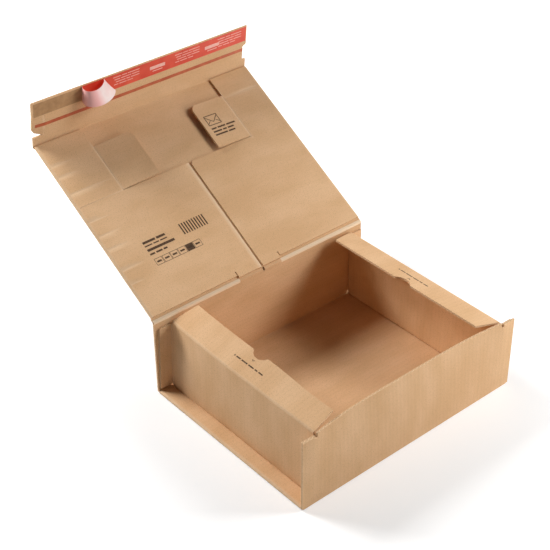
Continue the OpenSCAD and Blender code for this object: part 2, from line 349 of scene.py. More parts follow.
# %% [markdown]
# ## Strips, glue and ink
# The closing flap carries a tear strip, a band of contact glue and the glue's release liner: red on the side
# that shows, white with a pink cast on the side that was on the glue, and pinker where the paper turns, which
# is painted red light, shining through the paper and reflected from the red side. The print on the board is
# plain marks in a dark brown ink.

# %% Finishes of the strips and the print
FINE_GRAIN = 2600.0


def mottled(name, first, second, scale, roughness, specular=0.3, grainy=0.0):
    """A finish that drifts between two tones, with a fine grain in its surface."""
    material, tree, shader = new_material(name, roughness, specular)
    place = add(tree, "TexCoord").outputs["Object"]
    drift = spread(tree, spots(tree, place, scale, 2.0), 0.35, 0.65)
    fine = spots(tree, place, FINE_GRAIN, 3.0)
    dress(tree, shader, blend_colour(tree, drift, first, second), fine, 0.1 + grainy, 0.0001)
    return material


def paint_light_through(material, colour, most):
    """Paints light of a colour from behind shining through a thin finish, by the wear_and_painted_light
    attribute.
    """
    tree, shader = material.node_tree, material.node_tree.nodes["Principled BSDF"]
    share = spread(tree, carried(tree, "wear_and_painted_light"), 0.0, 1.0, most)
    plain = shader.inputs["Base Color"].links[0].from_socket
    put(tree, shader, {"Base Color": blend_colour(tree, share, plain, colour)})


liner_front = mottled("liner_red", tone(234, 92, 68), tone(220, 74, 54), 40.0, 0.42, 0.4)
liner_back = mottled("liner_release_side", tone(253, 236, 232), tone(248, 222, 218), 60.0, 0.4, 0.4)
# painted red light on the curl: red shining through the turned paper and reflected onto it
paint_light_through(liner_back, tone(254, 176, 172), 0.75)
liner_mark = mottled("liner_mark", tone(252, 196, 182), tone(246, 182, 168), 300.0, 0.5)
tear_tape = mottled("tear_tape", tone(204, 108, 72), tone(184, 90, 58), 90.0, 0.45, 0.4, 0.2)
contact_glue = mottled("contact_glue", tone(186, 146, 104), tone(170, 130, 90), 120.0, 0.38, 0.5, 0.3)
board_glue = mottled("board_glue", tone(222, 210, 186), tone(206, 192, 164), 150.0, 0.4, 0.4)
ink = mottled("brown_ink", tone(74, 56, 44), tone(104, 80, 60), 900.0, 0.8, 0.15)
for node, finish in (("tray_glue", board_glue), ("lid_glue", board_glue), ("seal_strip", contact_glue)):
    slots = frame["nodes"][node].data.materials
    slots.clear()
    slots.append(finish)
    print(node, "in", finish.name)

# %% [markdown]
# ## Working on a sheet
# Every board part starts as a flat grid at half the board's thickness. Edges are picked by their place, folded
# with Spin round the fold's centre and run on with Extrude, and Bisect draws the lines along which the die
# cuts. With no window, Spin and Rotate turn left-handed, so the helpers turn the sign round.

# %% Sheet tools
BOARD = 2.8
NEAR = 0.1
ALONG_X, ALONG_Y, ALONG_Z = (1, 0, 0), (0, 1, 0), (0, 0, 1)


def at(value, place):
    """True where a value is at a place, near enough."""
    return abs(value - place) < NEAR


def between(value, low, high):
    """True where a value is from low to high, near enough."""
    return low - NEAR < value < high + NEAR


def new_sheet(name, low, high, cuts, upright=False):
    """A grid between two corners, flat or upright, with its place in its mesh, left in edit mode."""
    bpy.ops.object.select_all(action="DESELECT")
    bpy.ops.mesh.primitive_grid_add(
        x_subdivisions=cuts[0],
        y_subdivisions=cuts[1],
        size=1,
        location=mm(*[(a + b) / 2 for a, b in zip(low, high)]),
        rotation=(math.pi / 2 if upright else 0, 0, 0),
    )
    sheet = bpy.context.object
    sheet.name = sheet.data.name = name
    sheet.scale = mm(high[0] - low[0], high[2] - low[2] if upright else high[1] - low[1], 1)
    bpy.ops.object.transform_apply()
    bpy.ops.object.mode_set(mode="EDIT")
    return sheet


def pick(where, kind="EDGE", rim=False):
    """Selects what lies wholly where the test on x, y and z in millimetres holds, or only its rim."""
    bpy.ops.mesh.select_mode(type=kind)
    bpy.ops.mesh.select_all(action="DESELECT")
    mesh = bmesh.from_edit_mesh(bpy.context.object.data)
    for part in {"VERT": mesh.verts, "EDGE": mesh.edges, "FACE": mesh.faces}[kind]:
        corners = [part] if kind == "VERT" else part.verts
        if (not rim or part.is_boundary) and all(where(*(c.co / MM)) for c in corners):
            part.select_set(True)
    mesh.select_flush_mode()
    bmesh.update_edit_mesh(bpy.context.object.data)


def fold(angle, about, axis, steps=6):
    """Folds the picked edges round a line, right-handed."""
    bpy.ops.mesh.spin(steps=steps, angle=-math.radians(angle), center=mm(*about), axis=axis)


def run_on(way, steps=1):
    """Runs the picked edges on along a way, in equal steps."""
    for _ in range(steps):
        step = {"value": mm(*[w / steps for w in way])}
        bpy.ops.mesh.extrude_region_move(TRANSFORM_OT_translate=step)


def score(axis, *places):
    """Draws lines right across the sheet, square to an axis."""
    for place in places:
        bpy.ops.mesh.select_all(action="SELECT")
        bpy.ops.mesh.bisect(plane_co=mm(*[n * place for n in axis]), plane_no=axis)


def cut_away(where):
    """Deletes the faces that lie where the test holds."""
    pick(where, "FACE")
    bpy.ops.mesh.delete(type="FACE")


def leave():
    """Leaves edit mode."""
    bpy.ops.object.mode_set(mode="OBJECT")


def shape(sheet, move):
    """Moves every point of a sheet by what move gives for its place, in millimetres."""
    leave()
    for point in sheet.data.vertices:
        point.co += Vector(mm(*move(*(point.co / MM))))


def count(sheet):
    """Prints how many faces an open sheet has."""
    print(sheet.name, "sheet,", len(bmesh.from_edit_mesh(sheet.data).faces), "faces")


print("board", BOARD, "mm thick")

# %% [markdown]
# ## Giving a sheet its thickness
# Solidify turns the sheet into board, and its rim takes the cut-edge finish by itself. Before that the sheet
# gets its place on the blank and its pale folds, partly worn paper and partly a painted highlight, because
# both are easy to read while it is still one layer.

# %% Thickness and finish
FOLD_LEAST, FOLD_SPAN, FOLD_MOST = 8, 28, 0.28
SMOOTH = math.radians(40)


def make_active(piece):
    """Selects one piece alone and makes it the active one."""
    bpy.ops.object.select_all(action="DESELECT")
    piece.select_set(True)
    bpy.context.view_layer.objects.active = piece


def work_on(piece):
    """Opens one piece in edit mode, with all of it selected."""
    make_active(piece)
    bpy.ops.object.mode_set(mode="EDIT")
    bpy.ops.mesh.select_all(action="SELECT")


def unrubbed(x, y, z):
    """Nothing added to the pale folds."""
    return 0.0


def lay_out(sheet, blank, rubbed_or_painted=unrubbed):
    """Writes each point's place on the flat blank as UV, and its wear_and_painted_light value: the larger of
    its fold's paleness, partly worn paper and partly a painted highlight, and what the given function adds.
    """
    leave()
    layer = sheet.data.uv_layers[0]
    layer.name = "blank"
    for loop in sheet.data.loops:
        layer.data[loop.index].uv = mm(*blank(*(sheet.data.vertices[loop.vertex_index].co / MM)))
    mesh = bmesh.new()
    mesh.from_mesh(sheet.data)
    bends = [max([e.calc_face_angle(0.0) for e in v.link_edges] or [0.0]) for v in mesh.verts]
    least = [rubbed_or_painted(*(v.co / MM)) for v in mesh.verts]
    mesh.free()
    # Folds are made pale: partly worn paper, partly a painted highlight on their ridges.
    folds = [min(FOLD_MOST, max(0.0, math.degrees(b) - FOLD_LEAST) / FOLD_SPAN) for b in bends]
    wear_and_painted_light = sheet.data.attributes.new("wear_and_painted_light", "FLOAT", "POINT")
    wear_and_painted_light.data.foreach_set("value", [max(pair) for pair in zip(least, folds)])


def thicken(sheet, finishes, thickness=BOARD, back=0):
    """Makes a sheet into board or paper of a thickness, with its rim in the last of its finishes."""
    work_on(sheet)
    bpy.ops.mesh.normals_make_consistent(inside=False)
    leave()
    for finish in finishes:
        sheet.data.materials.append(finish)
    layer = len(sheet.data.vertices)
    solid = sheet.modifiers.new("board", "SOLIDIFY")
    solid.thickness = thickness * MM
    solid.offset = 0
    solid.use_even_offset = True
    solid.material_offset = back
    solid.material_offset_rim = len(finishes) - 1
    bpy.ops.object.modifier_apply(modifier=solid.name)
    side = sheet.data.attributes.new("side", "FLOAT", "POINT")
    side.data.foreach_set("value", [float(i >= layer) for i in range(len(sheet.data.vertices))])
    bpy.ops.object.shade_smooth_by_angle(angle=SMOOTH)
    print(sheet.name, len(sheet.data.polygons), "faces")


def shift(piece, where, way):
    """Moves the points that lie where the test holds."""
    work_on(piece)
    pick(where, "VERT")
    bpy.ops.transform.translate(value=mm(*way))
    leave()


def turn(piece, angle, about, axis="X"):
    """Turns a whole piece right-handed round the line along an axis through a point."""
    work_on(piece)
    bpy.ops.transform.rotate(value=-math.radians(angle), orient_axis=axis, center_override=mm(*about))
    leave()


print("sheet finish ready")

# %% [markdown]
# ## Tray: floor, flanges and side walls
# The tray is symmetrical, so its right half is folded and then mirrored. The floor's side edge turns flat
# back onto the floor as a flange, and the side wall rises from the flange's end, set in from the carton's
# side. From the wall's top the dust flap folds in. It has sprung up a little, so its fold is less than square.

# %% Fold the tray's side
HALF_W = 181.5
FLOOR_X, FLOOR_Y, FLOOR_Z = 178.55, 138.6, BOARD / 2
TURN_R, FOLD_R = 1.55, 1.9
BY_FOLD = 2
FLANGE = 13.55
WALL_X, WALL_LOW, WALL_TOP = 159.1, 6.4, 107.7
RELIEF_IN, RELIEF_OUT = 158.5, 162.5
FLAP_FOLD, FLAP_REACH = 79.5, 35.7
NOTCH_W, NOTCH_DEPTH = 30.0, 8.0

tray = new_sheet("tray_board", (0, -FLOOR_Y, FLOOR_Z), (FLOOR_X, FLOOR_Y, FLOOR_Z), (18, 28))
score(ALONG_X, RELIEF_IN, RELIEF_OUT, FLOOR_X - BY_FOLD)
score(ALONG_Y, BY_FOLD - FLOOR_Y, FLOOR_Y - BY_FOLD, *[2.5 * i - NOTCH_W / 2 for i in range(13)])
pick(lambda x, y, z: x > FLOOR_X - NEAR)
fold(-180, (FLOOR_X, 0, FLOOR_Z + TURN_R), ALONG_Y, 8)
for length in (BY_FOLD, FLANGE, BY_FOLD):
    run_on((-length, 0, 0))
fold(90, (WALL_X + FOLD_R, 0, WALL_LOW), ALONG_Y)
for height, steps in ((2.8, 1), (96.8, 10), (1.7, 1)):
    run_on((0, 0, height), steps)
fold(-FLAP_FOLD, (WALL_X - FOLD_R, 0, WALL_TOP), ALONG_Y)
rise = math.radians(90 - FLAP_FOLD)
for length, steps in ((BY_FOLD, 1), (FLAP_REACH - BY_FOLD, 5)):
    run_on((-length * math.cos(rise), 0, length * math.sin(rise)), steps)
count(tray)

# %% [markdown]
# ## Tray: front and back walls, end tabs
# The floor runs on past the side walls and turns up at the front and back. The front wall's ends are ears,
# a little lower than its middle, with a relief cut between. Each side wall ends in a tab that turns out and is
# glued behind the ear, so the walls hold each other.

# %% Fold the front, the back and the end tabs
END_FOLD, END_WALL = 141.7, 143
RELIEF_LOW, EAR_TOP, FRONT_TOP, BACK_MORE = 105, 108, 111, 3.4
TAB_LOW, TAB_HIGH, TAB_OUT = 9.1, 106.1, 18.5

for end in (-1, 1):
    pick(lambda x, y, z: at(y, end * FLOOR_Y) and z < 4.6, rim=True)
    run_on((0, end * 3.1, 0))
    pick(lambda x, y, z: at(y, end * END_FOLD) and z < 1.5 and x < FLOOR_X + NEAR, rim=True)
    fold(end * 90, (0, end * END_FOLD, FLOOR_Z + FOLD_R), ALONG_X)
    for height, steps in ((2.0, 1), (99.7, 10), (3.0, 1), (3.0, 1)):
        run_on((0, 0, height), steps)
    pick(lambda x, y, z: x > FLOOR_X - NEAR and y * end > END_WALL and z > 3.2, rim=True)
    run_on((HALF_W - FLOOR_X, 0, 0))
    pick(lambda x, y, z: at(y, end * FLOOR_Y) and x < WALL_X + NEAR and TAB_LOW < z < TAB_HIGH, rim=True)
    fold(-end * 90, (WALL_X + FOLD_R, end * FLOOR_Y, 0), ALONG_Z)
    run_on((TAB_OUT, 0, 0), 2)
pick(lambda x, y, z: y > END_WALL and z > FRONT_TOP - NEAR, rim=True)
run_on((0, 0, BACK_MORE))
cut_away(lambda x, y, z: y < -END_WALL and between(x, RELIEF_IN, RELIEF_OUT) and z > RELIEF_LOW - NEAR)
cut_away(lambda x, y, z: y < -END_WALL and x > RELIEF_OUT - NEAR and z > EAR_TOP - NEAR)
count(tray)

# %% [markdown]
# ## Tray: slanted flap ends, thumb notch and the walls' set
# Board never stands quite straight. The front wall's middle bows in, and the left wall leans in at its rear
# top. The dust flaps' ends run in towards the free edge, and a thumb notch is cut into its middle. These are
# small moves of points on the sheet, made before the thickness so that the board stays even.

# %% Trim and set the tray
FLAP_TAPER, FLAP_LIFT = 8, 5.0
BOW, LEAN = 8.0, 4.5
NOTCH_R = (NOTCH_W**2 / 4 + NOTCH_DEPTH**2) / (2 * NOTCH_DEPTH)
ROUND_TURN = 5


def flap_share(x, y, z):
    """How far across the dust flap a point lies, 0 at its fold and 1 at its free edge."""
    across = (WALL_X - FOLD_R - abs(x)) / (FLAP_REACH * math.cos(rise))
    return max(0.0, min(1.0, across)) if z > 108 and abs(y) < FLOOR_Y + NEAR else 0.0


def trim_flap(x, y, z):
    """Runs the dust flap's ends in and draws its free edge back round the thumb notch."""
    share = flap_share(x, y, z)
    in_notch = abs(y) < NOTCH_W / 2 + 0.01
    back = (math.sqrt(NOTCH_R**2 - y**2) - NOTCH_R + NOTCH_DEPTH if in_notch else 0.0) * share**2
    return (back * math.cos(rise), -y * share * FLAP_TAPER / FLOOR_Y, -back * math.sin(rise))


def tray_blank(x, y, z):
    """Where a point of the tray lies on the flat blank: across the carton, and across the flutes."""
    if y < -141.75:
        return (z, x)
    if y > 141.75:
        return (x, y + z)
    if abs(y) > FLOOR_Y + NEAR and z > 9:
        out = 2 * FLOOR_X + ROUND_TURN - WALL_X + z
        return (math.copysign(out, x), math.copysign(abs(y) + abs(x) - WALL_X, y))
    out = FLOOR_X + ROUND_TURN + (FLOOR_X - abs(x)) + z if z > 4 else abs(x)
    return (math.copysign(out, x), y)


def flap_lift(x, y, z):
    """How much further the left dust flap stands up than the right one, least at its front end."""
    ramp = min(1.0, max(0.0, (y + 100) / 80))
    return FLAP_LIFT * flap_share(x, y, z) * ramp * ramp * (3 - 2 * ramp) if x < 0 else 0.0


def set_walls(x, y, z):
    """Bows the front wall's middle in, leans the left wall's rear top in and lifts the left dust flap."""
    bow = lean = 0.0
    if y < -END_WALL and abs(x) < 162:
        bow = BOW * math.cos(math.pi / 2 * (x / 163) ** 2) * (z / FRONT_TOP) ** 1.6
    if x < -100 and z > 5 and 0 < y < 142.5:
        lean = LEAN * (min(y, 138) / 138) ** 2 * (min(z, FRONT_TOP) / FRONT_TOP) ** 1.5
    return (lean, bow, flap_lift(x, y, z))


shape(tray, trim_flap)
make_active(tray)
mirror = tray.modifiers.new("other_half", "MIRROR")
mirror.merge_threshold = 0.0001
bpy.ops.object.modifier_apply(modifier=mirror.name)
lay_out(tray, tray_blank)
shape(tray, set_walls)
print("tray", len(tray.data.polygons), "faces")

# %% [markdown]
# ## Tray: parting the dust flaps and making board
# The lid presses the dust flaps down when it closes. To let them flatten, each becomes a piece of its own:
# Separate parts the mesh at the wall's top, where the fold begins, so the surface still runs through.

# %% Part the flaps and make board
def part_off(sheet, name, where):
    """Parts the faces that lie where the test holds into a new sheet."""
    work_on(sheet)
    pick(where, "FACE")
    before = set(bpy.data.objects)
    bpy.ops.mesh.separate(type="SELECTED")
    leave()
    part = (set(bpy.data.objects) - before).pop()
    part.name = part.data.name = name
    return part


flaps = []
for name, way in (("left", -1), ("right", 1)):
    on_flap = lambda x, y, z: x * way > 100 and z > WALL_TOP - 0.05 and abs(y) < 139
    flaps.append(part_off(tray, "dust_flap_" + name, on_flap))
for sheet in (tray, *flaps):
    thicken(sheet, (kraft, edge))
# The back wall's outer face is drawn up to the hinge, and the inner bend of the wall's foot is opened.
shift(tray, lambda x, y, z: y > 144.5 and z > 114.3, (0, 0, 1.0))
for side in (-1, 1):
    shift(tray, lambda x, y, z: 160.52 < x * side < 160.95 and 5.9 < z < 6.35, (-side * 0.7, 0, -0.7))

# %% [markdown]
# ## Lid: outer ply and wings
# The lid is double. Its outer ply is as wide as the carton, and at each side a wing turns in flat beneath it,
# so the two wings meet at a seam near the middle. It is folded here as it lies when closed, where every sum
# is simple, and turned open at the end.

# %% Fold the lid
OUTER_Z, INNER_Z = 115.8, 112.7
WING_FRONT, WING_REAR = -146.7, 138.5
POCKET_LEFT, POCKET_RIGHT, POCKET_REAR = -108.0, 114.0, -40.0
TAB_FRONT, TAB_REAR = -115.8, POCKET_REAR - 0.8
SEAM_LEFT, SEAM_RIGHT = 0.6, 3.4
TONGUE_LEFT, TONGUE_RIGHT = -39.0, 33.0
TONGUE_SLIT, SLIT_FRONT = 1.6, 132.5
FACE_LENGTH = 11

lid = new_sheet("lid_board", (-FLOOR_X, WING_FRONT, OUTER_Z), (FLOOR_X, WING_REAR, OUTER_Z), (36, 28))
score(ALONG_X, BY_FOLD - FLOOR_X, FLOOR_X - BY_FOLD)
score(ALONG_Y, TAB_FRONT, TAB_REAR, POCKET_REAR, SLIT_FRONT)
right_stops = (176.5, 117, 115, POCKET_RIGHT, TONGUE_RIGHT + TONGUE_SLIT, TONGUE_RIGHT, SEAM_RIGHT)
left_stops = (-176.5, -111, -109, POCKET_LEFT, TONGUE_LEFT - TONGUE_SLIT, TONGUE_LEFT)
for way, stops in ((1, right_stops), (-1, (*left_stops, SEAM_LEFT - 7, SEAM_LEFT))):
    pick(lambda x, y, z: x * way > FLOOR_X - NEAR and z > OUTER_Z - NEAR, rim=True)
    fold(way * 180, (way * FLOOR_X, 0, OUTER_Z - TURN_R), ALONG_Y, 8)
    reach = way * FLOOR_X
    for stop in stops:
        run_on((stop - reach, 0, 0), max(1, round(abs(stop - reach) / FACE_LENGTH)))
        reach = stop
count(lid)

# %% [markdown]
# ## Lid: pocket, tabs and tongue
# A flat pocket lies at the front of the lid, behind two tabs. The wings are cut out there, and each tab hangs
# on a crease at the pocket's side, sprung up by a few degrees. A groove is pressed along that crease. At the
# hinge a tongue of the inner ply reaches further back between two slits.

# %% Cut the pocket and run out the tabs
TAB_W, TAB_LIFT, TAB_ROUND, SEAM_ROUND, TONGUE_MORE = 60.0, 5, 10, 6, 3.1


def round_corner(corner, inward, radius, where):
    """Trims a panel's corner to a radius along five tangents."""
    centre = [c + radius * i for c, i in zip(corner, inward)]
    for angle in (15, 30, 45, 60, 75):
        turned_by = math.radians(angle)
        away = (-inward[0] * math.cos(turned_by), -inward[1] * math.sin(turned_by), 0)
        pick(where, "FACE")
        point = [c + radius * a for c, a in zip((*centre, 0), away)]
        bpy.ops.mesh.bisect(plane_co=mm(*point), plane_no=away, clear_outer=True)


def is_inner(z):
    """True on the lid's inner ply."""
    return z < INNER_Z + NEAR


cut_away(lambda x, y, z: is_inner(z) and between(x, POCKET_LEFT, POCKET_RIGHT) and y < POCKET_REAR + NEAR)
for low, high in ((TONGUE_LEFT - TONGUE_SLIT, TONGUE_LEFT), (TONGUE_RIGHT, TONGUE_RIGHT + TONGUE_SLIT)):
    cut_away(lambda x, y, z: is_inner(z) and between(x, low, high) and y > SLIT_FRONT - NEAR)
out, up = math.cos(math.radians(TAB_LIFT)), math.sin(math.radians(TAB_LIFT))
for crease, way in ((POCKET_RIGHT, -1), (POCKET_LEFT, 1)):
    pick(lambda x, y, z: is_inner(z) and at(x, crease) and between(y, TAB_FRONT, TAB_REAR), rim=True)
    for length, steps in ((1, 1), (2, 1), (TAB_W - 3, 6)):
        run_on((way * length * out, 0, -length * up), steps)
    tip = crease + way * TAB_W * out
    by_tip = lambda x, y, z: is_inner(z) and abs(x - tip) < 31 and y < -84
    round_corner((tip, TAB_FRONT), (-way, 1), TAB_ROUND, by_tip)
by_seam_end = lambda x, y, z: is_inner(z) and SEAM_RIGHT - NEAR < x < 30 and -41 < y < -18
round_corner((SEAM_RIGHT, POCKET_REAR), (1, 1), SEAM_ROUND, by_seam_end)
pick(lambda x, y, z: is_inner(z) and between(x, TONGUE_LEFT, TONGUE_RIGHT) and y > WING_REAR - NEAR, rim=True)
run_on((0, TONGUE_MORE, 0))
count(lid)

# %% [markdown]
# ## Lid: edge strips, seam and creases
# Past the wings the outer ply runs on as a bare strip, to the hinge at the rear and to the closing flap's
# crease at the front. Both ends are mitred, as pressed board is in a fold. The seam drifts a little, as a hand
# fold does, and folding has left a few shallow creases across the wings.

# %% Run out the lid's ends and crease the wings
for end, place, way in ((1, WING_REAR, 3.6), (-1, WING_FRONT, -2.5)):
    pick(lambda x, y, z: at(y, place) and z > OUTER_Z - NEAR, rim=True)
    run_on((0, way, 0))
    for side in (-1, 1):
        pick(
            lambda x, y, z: x * side > FLOOR_X - NEAR and (y - place) * end > -NEAR and z > OUTER_Z - NEAR,
            rim=True,
        )
        run_on((side * (HALF_W - FLOOR_X), 0, 0))

# Each crease's place along the lid and its end, on the left wing, and then one on the right wing.
LEFT_DENTS = ((-110.6, -152), (-91.6, -149), (-63, -118), (-40.2, -106), (-15.5, -154))
LEFT_DENTS += ((8, -145), (30, -148), (63.7, -145), (86.5, -164))
DENTS = [(place, -182, last) for place, last in LEFT_DENTS] + [(-111, 113, 176)]
DENT_HALF, DENT_DEPTH = 1.4, 0.5
for place, first, last in DENTS:
    for line in (place - DENT_HALF, place, place + DENT_HALF):
        pick(lambda x, y, z: is_inner(z) and first - 12 < x < last + 12, "FACE")
        bpy.ops.mesh.bisect(plane_co=mm(0, line, 0), plane_no=ALONG_Y)
print("creases", len(DENTS))

# %% Press the lid and make board
# The second value is the strength of the painted highlight beside the seam.
GROOVE, SEAM_PAINTED_HIGHLIGHT, SEAM_PRESSED = 0.35, 0.6, 0.9
SEAM_MIDDLE, DRIFT_HALF, SEAM_LENGTH = 2, 30, 178


def dent_depth(x, y):
    """How deep a handling crease is on a wing: full at the wing's side, nothing at its other end."""
    for place, first, last in DENTS:
        if at(y, place) and first - 1 < x < last:
            run = (x - first) / (last - first)
            return DENT_DEPTH * math.sqrt(1 - run if x < 0 else run)
    return 0.0


def press_creases(x, y, z):
    """Presses the grooves of the tabs' creases and the handling creases, and lets the seam drift."""
    if not is_inner(z):
        return (0.0, 0.0, 0.0)
    groove, drift = dent_depth(x, y), 0.0
    if between(y, TAB_FRONT, TAB_REAR) and (at(x, POCKET_LEFT) or at(x, POCKET_RIGHT)):
        groove = GROOVE
    aside = abs(x - SEAM_MIDDLE) / DRIFT_HALF
    if aside < 1 and y > POCKET_REAR - NEAR:
        drift = (1.0 - (y - POCKET_REAR) / SEAM_LENGTH * 1.4) * (1 - aside)
    return (drift, 0.0, groove)


def by_seam(x, y):
    """True on the left wing's lip at the seam."""
    return SEAM_LEFT - 1 < x < SEAM_LEFT + 1.4 and y > POCKET_REAR - NEAR


def seam_painted_highlight(x, y, z):
    """How pale the left wing is painted beside the seam: a painted highlight on the lip where its cut edge is
    pressed.
    """
    return SEAM_PAINTED_HIGHLIGHT if is_inner(z) and by_seam(x, y) else 0.0


def lid_blank(x, y, z):
    """Where a point of the lid lies on the flat blank."""
    return (x if z > 114.3 else math.copysign(2 * FLOOR_X + ROUND_TURN - abs(x), x), y + 400)


shape(lid, press_creases)
# The left wing's lip beside the seam gets a painted highlight.
lay_out(lid, lid_blank, seam_painted_highlight)
thicken(lid, (smooth_kraft, edge))
shift(lid, lambda x, y, z: by_seam(x, y) and z < 111.6, (0, 0, SEAM_PRESSED))
for low_side, high_side, end, limit in ((-0.18, 0.5, 1, 142.0), (1.0, -0.7, -1, 149.1)):
    shift(lid, lambda x, y, z: y * end > limit and z < 114.9, (0, low_side, 0))
    shift(lid, lambda x, y, z: y * end > limit and z > 116.9, (0, high_side, 0))

# %% [markdown]
# ## Closing flap
# The closing flap hangs from the lid's front edge when the carton is shut. A tapered slit at its left end
# frees the pull tab of the tear strip, which bends on a light crease, and a recess at its right end lets the
# strip run out. Its free edge is pressed thin on the outer side, so that it lies flat when it is stuck down.
# The flap is cut as it hangs, and turned with the lid afterwards.

# %% Cut the closing flap
FLAP_Y, FLAP_LOW, FLAP_TOP = -149.6, 47.2, 114.1
SLIT_END, SLIT_LOW, SLIT_HIGH = -166.5, 94.2, 101.2
TAB_CREASE, CREASE_HALF, CREASE_LOW = -163.5, 1.2, 75
TAB_BENT, TAB_FIRM = 3.0, 66.0
TAB_CORNER, CORNER_IN = 89.5, 3.2
TAB_ROWS = (82.9, 87.5, 91.0)
RECESS_X, RECESS_LOW, RECESS_HIGH = 175.5, 78.2, 102.2
PRESSED_TOP, PRESSED = FLAP_LOW + 3, 1.3

closing = new_sheet(
    "closing_flap_board", (-HALF_W, FLAP_Y, FLAP_LOW), (HALF_W, FLAP_Y, FLAP_TOP), (36, 6), upright=True
)
score(ALONG_X, *[3 * i - HALF_W for i in range(1, 5)], SLIT_END)
score(ALONG_X, TAB_CREASE - CREASE_HALF, TAB_CREASE, TAB_CREASE + CREASE_HALF, RECESS_X)
score(ALONG_Z, PRESSED_TOP, RECESS_LOW, RECESS_LOW + 4, RECESS_HIGH, *TAB_ROWS, SLIT_LOW, SLIT_HIGH)
cut_away(lambda x, y, z: x < SLIT_END + NEAR and between(z, SLIT_LOW, SLIT_HIGH))
cut_away(lambda x, y, z: x > RECESS_X - NEAR and between(z, RECESS_LOW, RECESS_HIGH))
count(closing)

# %% Bend the pull tab and make board
OUTER_SIDE = -150.5


def tab_bend(x, z):
    """How far the pull tab is bent back at a point: nothing at its crease, most at its free corner."""
    out = min(1.0, max(0.0, (TAB_CREASE - x) / (TAB_CREASE + HALF_W)))
    low = min(1.0, max(0.0, (z - TAB_FIRM) / (SLIT_LOW - TAB_FIRM)))
    return -TAB_BENT * out * low * low * (3 - 2 * low) if z < SLIT_HIGH - 0.2 else 0.0


def flap_cuts(x, y, z):
    """Tapers the slit, rounds the pull tab's corner, slants the recess and presses the tab's crease."""
    climb = draw = 0.0
    out = (x + HALF_W) / (SLIT_END + HALF_W)
    if at(z, SLIT_LOW) and out < 1.01:
        climb = (SLIT_HIGH - SLIT_LOW - 0.3) * out
    if x < NEAR - HALF_W and TAB_CORNER < z < SLIT_LOW + NEAR:
        draw = CORNER_IN * ((z - TAB_CORNER) / (SLIT_LOW - TAB_CORNER)) ** 2
    if at(z, RECESS_LOW) and at(x, RECESS_X):
        climb = 2.0
    if at(z, RECESS_LOW) and x > HALF_W - NEAR:
        climb = -1.0
    groove = -0.3 if at(x, TAB_CREASE) and CREASE_LOW < z < SLIT_LOW - NEAR else 0.0
    return (draw, groove + tab_bend(x, z), climb)


def closing_blank(x, y, z):
    """Where a point of the closing flap lies on the flat blank."""
    return (x, z - 500)


shape(closing, flap_cuts)
lay_out(closing, closing_blank)
thicken(closing, (smooth_kraft, edge))
shift(closing, lambda x, y, z: z > 114.0 and y < OUTER_SIDE, (0, 0, 0.7))
shift(closing, lambda x, y, z: z < PRESSED_TOP - NEAR and y < OUTER_SIDE, (0, PRESSED, 0))

# %% [markdown]
# ## Tear strip
# The tear strip is a band of plastic tape, stuck along the closing flap. It follows the bent pull tab, so it
# is a thin sheet that takes the same bend as the board. A straight bar would leave the board at the tab.

# %% Lay the tear strip
TEAR_START, TEAR_LOW, TEAR_HIGH, TEAR_T = -176.5, 82.8, 87.6, 0.25
TEAR_Y = -148.2 + TEAR_T / 2

tear = new_sheet(
    "tear_strip_tape", (TEAR_START, TEAR_Y, TEAR_LOW), (RECESS_X, TEAR_Y, TEAR_HIGH), (88, 2), upright=True
)
shape(tear, lambda x, y, z: (0.0, tab_bend(x, z), 0.0))
lay_out(tear, closing_blank)
thicken(tear, (tear_tape,), TEAR_T)

# %% [markdown]
# ## Standing the lid and the flap open
# The lid turns back on its crease at the top of the back wall, and the closing flap turns on its own crease at
# the lid's front edge.

# %% Turn them open
HINGE = (0, 144.2, 116.4)
CREASE = (0, -150.2, 116.4)
LID_OPEN, FLAP_SWING = -150, -24


def turned(y, z, angle, about):
    """A point in Y and Z after a right-handed turn about X."""
    c, s = math.cos(math.radians(angle)), math.sin(math.radians(angle))
    y, z = y - about[1], z - about[2]
    return (about[1] + y * c - z * s, about[2] + y * s + z * c)


def opened(y, z):
    """Where a point of the closed lid stands, in metres."""
    return mm(0, *turned(y, z, LID_OPEN, HINGE))


def stood_up(y, z):
    """Where a point of the hanging closing flap stands, in metres."""
    return opened(*turned(y, z, FLAP_SWING, CREASE))


def stand_up(piece):
    """Turns a piece of the hanging closing flap to where it stands."""
    turn(piece, FLAP_SWING, CREASE)
    turn(piece, LID_OPEN, HINGE)


turn(lid, LID_OPEN, HINGE)
stand_up(closing)
stand_up(tear)
print("free edge of the closing flap", [round(c, 4) for c in stood_up(-151, FLAP_LOW)])

# %% [markdown]
# ## Crease paper
# At a crease the board is crushed, and only its paper goes round the fold. Four narrow strips of paper bridge
# the mitres, inside and outside the hinge and the flap's crease. The paper inside the hinge is parted at the
# wings' seam, and made pale beside their tongue, partly worn by rubbing and partly a painted highlight on the
# fold.

# %% Paper inside and outside the hinge
PAPER = 0.3
PAPER_CUTS = (24, 1)
INSIDE_R = 2.0 - PAPER / 2
LID_WAY = (math.cos(math.radians(30)), math.sin(math.radians(30)))


def strip_blank(x, y, z):
    """Where a point of the crease paper lies on the flat blank, near enough."""
    return (x, y + z)


def stretched_and_highlit(x, y, z):
    """How pale a crease's outer paper is made, the same all along: worn by stretching round the fold, with a
    painted highlight.
    """
    return 0.45


def beside_tongue(x, y, z):
    """How pale the paper inside the hinge is made, worn by rubbing and with a painted highlight on the fold:
    only where the wings' tongue isn't.
    """
    return 0.0 if between(x, TONGUE_LEFT, TONGUE_RIGHT) else 1.0


def from_hinge(y, z, x=0):
    """A place measured from the hinge's line."""
    return (x, HINGE[1] + y, HINGE[2] + z)


def paper_strip(name, place, first, last, upright=False):
    """A strip right across the carton, between two places measured from a crease."""
    return new_sheet(name, place(*first, -HALF_W), place(*last, HALF_W), PAPER_CUTS, upright)


